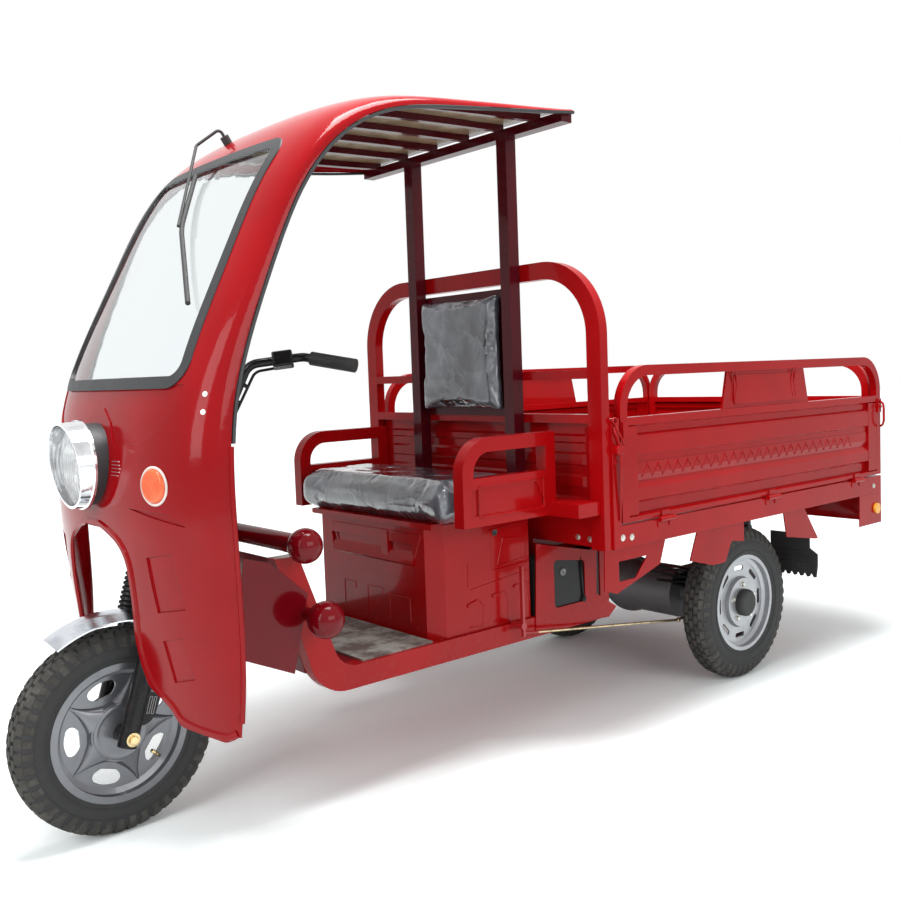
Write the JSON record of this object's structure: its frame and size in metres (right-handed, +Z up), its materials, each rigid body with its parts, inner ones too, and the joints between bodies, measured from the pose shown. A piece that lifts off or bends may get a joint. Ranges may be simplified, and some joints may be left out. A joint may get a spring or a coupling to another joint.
{
  "type": "electric cargo tricycle with half cab",
  "caption": "Electric cargo tricycle: steered front wheel, half cab with windscreen and roof, bench seat on a steel box, and a cargo bed with drop sides on a live rear axle",
  "frame": {"origin": "on the ground below the middle of the whole vehicle's box", "axes": "+X forward, +Y to the rider's left, +Z up"},
  "size_m": [3.0295, 1.135, 1.802],
  "materials": {
    "red_paint": "glossy red paint",
    "dark_red": "dark red paint",
    "tyre": "black tyre rubber",
    "grey_wheel": "grey painted pressed steel",
    "silver_wheel": "silver paint",
    "black_paint": "black paint",
    "black_rubber": "matt black rubber",
    "black_plastic": "matt black plastic",
    "chrome": "bright chrome",
    "glass": "clear safety glass",
    "lens": "clear moulded lens",
    "orange": "orange lens with pale bezel",
    "amber": "amber lens",
    "beige": "beige moulded lining",
    "leatherette": "dark leatherette under clear film",
    "grey_mat": "worn grey floor mat",
    "cast": "grey cast housing",
    "black_steel": "black painted spring steel"
  },
  "bodies": {
    "chassis": {"armrests": "red_paint", "backrest_cushion": "leatherette", "battery_boxes": "black_paint", "bed_floor": "red_paint", "bed_frame": "red_paint", "brake_pedal": "red_paint", "cab_edge_trim": "black_rubber", "cab_shell": "red_paint", "floor_mat": "grey_mat", "front_bulkhead": "red_paint", "headboard_hoop": "red_paint", "headlamp": "chrome", "headlamp_lens": "lens", "leaf_springs": "black_steel", "main_frame": "red_paint", "mudflaps": "black_rubber", "rear_axle": "cast", "rear_brackets": "red_paint", "roof_liner": "beige", "roof_posts": "dark_red", "roof_ribs": "dark_red", "seat_box": "red_paint", "tail_lamps": "amber", "turn_signals": "orange", "windscreen_glass": "glass", "windscreen_seal": "black_rubber", "wiper": "black_plastic"},
    "steering": {"fork": "black_paint", "fork_springs": "black_steel", "front_mudguard": "chrome", "handlebar": "black_paint", "handlebar_grips": "black_rubber"},
    "front_wheel": {"front_tyre": "tyre", "front_wheel_disc": "grey_wheel"},
    "rear_wheel_left": {"rear_tyre_left": "tyre", "rear_wheel_disc_left": "silver_wheel", "hub_cap_left": "black_plastic"},
    "rear_wheel_right": {"rear_tyre_right": "tyre", "rear_wheel_disc_right": "silver_wheel", "hub_cap_right": "black_plastic"},
    "seat": {"seat_lid": "red_paint", "seat_cushion": "leatherette"},
    "left_gate": {"gate_left": "red_paint"},
    "right_gate": {"gate_right": "red_paint"},
    "tail_gate": {"tailgate": "red_paint"}
  },
  "joints": [
    {"name": "steering_head", "type": "hinge", "parent": "chassis", "child": "steering", "pos_m": [1.01909, 0, 0.9], "axis": [-0.294, 0, 0.9558], "range_deg": [-38, 38]},
    {"name": "front_wheel_spin", "type": "hinge", "parent": "steering", "child": "front_wheel", "pos_m": [1.26675, 0, 0.248], "axis": [0, 1, 0], "continuous": true},
    {"name": "rear_left_spin", "type": "hinge", "parent": "chassis", "child": "rear_wheel_left", "pos_m": [-0.76525, 0.389, 0.259], "axis": [0, 1, 0], "continuous": true},
    {"name": "rear_right_spin", "type": "hinge", "parent": "chassis", "child": "rear_wheel_right", "pos_m": [-0.76525, -0.389, 0.259], "axis": [0, 1, 0], "continuous": true},
    {"name": "seat_hinge", "type": "hinge", "parent": "chassis", "child": "seat", "pos_m": [0.12375, 0, 0.67667], "axis": [0, -1, 0], "range_deg": [0, 28]},
    {"name": "left_gate_hinge", "type": "hinge", "parent": "chassis", "child": "left_gate", "pos_m": [-0.75, 0.5595, 0.635], "axis": [-1, 0, 0], "range_deg": [0, 180]},
    {"name": "right_gate_hinge", "type": "hinge", "parent": "chassis", "child": "right_gate", "pos_m": [-0.75, -0.5595, 0.635], "axis": [1, 0, 0], "range_deg": [0, 180]},
    {"name": "tail_gate_hinge", "type": "hinge", "parent": "chassis", "child": "tail_gate", "pos_m": [-1.50675, 0, 0.635], "axis": [0, -1, 0], "range_deg": [0, 180]}
  ]
}
